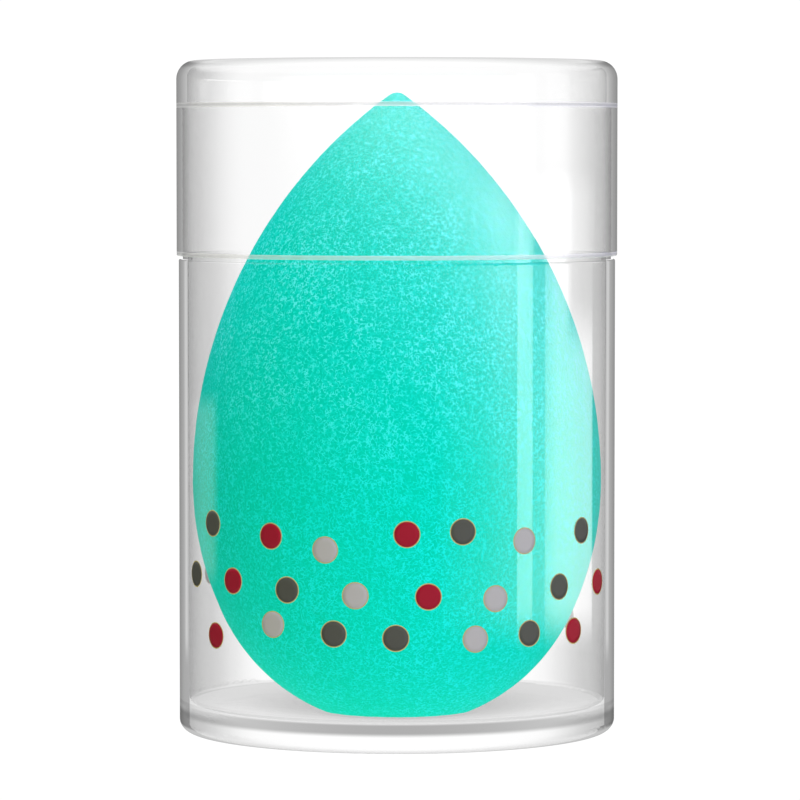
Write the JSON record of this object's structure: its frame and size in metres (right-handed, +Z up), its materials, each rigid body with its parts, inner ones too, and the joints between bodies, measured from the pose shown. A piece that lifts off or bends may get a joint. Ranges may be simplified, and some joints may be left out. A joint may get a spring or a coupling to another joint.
{
  "type": "makeup sponge in canister",
  "caption": "Teardrop foam makeup sponge standing in a clear moulded canister with a slip-over clear lid; lid and sponge lift straight out.",
  "frame": {"origin": "on the canister's axis, in the plane of the ring it stands on", "axes": "+Z up along the axis of the canister, sponge and lid; the part is round about it"},
  "size_m": [0.0428, 0.0428, 0.0653],
  "materials": {
    "clear_case": "polished",
    "clear_lid": "polished",
    "foam": "matte",
    "print_olive": "satin",
    "print_grey": "satin",
    "print_crimson": "satin",
    "print_gold": "satin"
  },
  "bodies": {
    "case": {"case_body": "clear_case"},
    "lid": {"lid": "clear_lid"},
    "sponge": {"sponge": "foam"}
  },
  "joints": [
    {"name": "lid_lift", "type": "slide", "parent": "case", "child": "lid", "axis": [0, 0, 1], "range_m": [0, 0.13]},
    {"name": "sponge_lift", "type": "slide", "parent": "case", "child": "sponge", "axis": [0, 0, 1], "range_m": [0, 0.065]}
  ],
  "couplings": [
    {"joint": "sponge_lift", "follows": "lid_lift", "ratio": 0.5}
  ]
}
